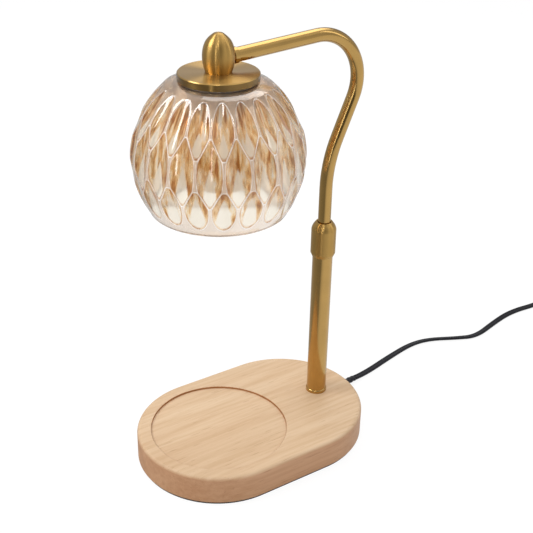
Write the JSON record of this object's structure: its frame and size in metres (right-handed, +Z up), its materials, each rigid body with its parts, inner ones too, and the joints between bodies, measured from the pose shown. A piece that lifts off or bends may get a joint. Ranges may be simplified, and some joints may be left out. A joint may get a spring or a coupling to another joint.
{
  "type": "candle warmer lamp",
  "caption": "Candle warmer lamp: wooden base with a candle recess, column with a twist-lock collar, bent sliding arm, faceted glass shade over a reflector bulb, and a cord with dimmer and plug.",
  "frame": {"origin": "centre of the base's underside", "axes": "+X towards the column, +Y to the back, +Z up"},
  "size_m": [0.5811, 0.1758, 0.3425],
  "materials": {
    "wood": "satin",
    "pad": "matte",
    "weight": "rough",
    "steel": "satin",
    "brass_satin": "brushed",
    "nylon": "matte",
    "gasket": "matte",
    "ceramic": "matte",
    "pin_metal": "satin",
    "reflector": "gloss",
    "lens": "gloss",
    "shade_glass": "gloss",
    "cord_black": "satin",
    "black_plastic": "matte",
    "blade_metal": "satin"
  },
  "bodies": {
    "base": {"wood_base": "wood", "base_pad": "pad", "counterweight": "weight", "weight_screws": "steel", "column_foot": "brass_satin", "column_tube": "brass_satin", "column_nipple": "steel", "column_washer": "steel", "column_nut": "steel", "collet": "nylon", "cord_gland": "cord_black", "cord_main": "cord_black", "dimmer_lower": "black_plastic", "dimmer_upper": "black_plastic", "dimmer_screws": "steel", "cord_mid": "cord_black", "cord_coil": "cord_black", "cord_tail": "cord_black", "plug_body": "black_plastic", "plug_blades": "blade_metal"},
    "collar": {"collar_nut": "brass_satin"},
    "carrier": {"arm_guide": "nylon"},
    "arm": {"arm_tube": "brass_satin", "arm_end_plug": "nylon", "arm_ferrule": "brass_satin", "egg_joint": "brass_satin", "cap_disc": "brass_satin", "head_nipple": "steel", "head_nut": "steel", "shade_gasket": "gasket", "socket_cup": "steel", "shade_ring": "brass_satin", "holder_bracket": "steel", "lampholder": "ceramic", "holder_screws": "steel", "bulb_base": "ceramic", "bulb_pins": "pin_metal", "bulb_reflector": "reflector", "bulb_lens": "lens", "glass_shade": "shade_glass"},
    "dimmer_knob": {"dimmer_wheel": "black_plastic"}
  },
  "joints": [
    {"name": "arm_height", "type": "slide", "parent": "base", "child": "carrier", "axis": [0, 0, 1], "range_m": [-0.025, 0.06]},
    {"name": "arm_swivel", "type": "hinge", "parent": "carrier", "child": "arm", "pos_m": [0.065, 0, 0.08], "axis": [0, 0, 1], "range_deg": [-170, 170]},
    {"name": "collar_twist", "type": "hinge", "parent": "base", "child": "collar", "pos_m": [0.065, 0, 0.165], "axis": [0, 0, 1], "range_deg": [0, 180]},
    {"name": "dimmer_turn", "type": "hinge", "parent": "base", "child": "dimmer_knob", "pos_m": [0.41169, 0.0005, 0.0109], "axis": [0, 0, 1], "range_deg": [0, 270]}
  ]
}
